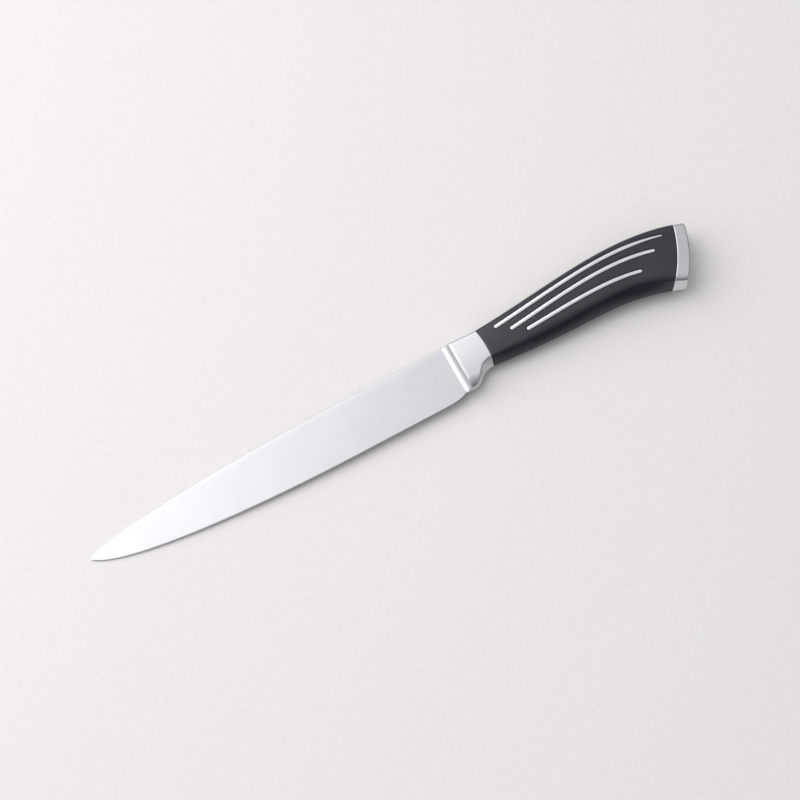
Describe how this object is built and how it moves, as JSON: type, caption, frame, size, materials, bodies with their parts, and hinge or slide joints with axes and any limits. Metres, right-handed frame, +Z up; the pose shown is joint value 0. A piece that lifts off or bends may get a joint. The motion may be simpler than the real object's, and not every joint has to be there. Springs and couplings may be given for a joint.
{
  "type": "kitchen knife",
  "caption": "Slicing knife lying on its side: slim pointed blade, steel bolster with a beak, arched black grip with steel strips let in, raked steel end cap.",
  "frame": {"origin": "on the surface that the knife lies on, under the middle of its outline", "axes": "-X towards the tip, +X towards the butt, +Y towards the spine, +Z up"},
  "size_m": [0.3414, 0.0368, 0.0171],
  "materials": {
    "blade_steel": "satin ground along the height",
    "bolster_steel": "satin polished",
    "tang_steel": "rolled, unpolished",
    "grip_plastic": "fine moulded, slight sheen",
    "cap_steel": "satin brushed",
    "inlay_steel": "bright polished"
  },
  "bodies": {
    "root": {"blade": "blade_steel", "bolster": "bolster_steel", "tang": "tang_steel", "grip": "grip_plastic", "end_cap": "cap_steel", "inlay_near_upper": "inlay_steel", "inlay_near_middle": "inlay_steel", "inlay_near_lower": "inlay_steel", "inlay_far_upper": "inlay_steel", "inlay_far_middle": "inlay_steel", "inlay_far_lower": "inlay_steel"}
  },
  "joints": []
}
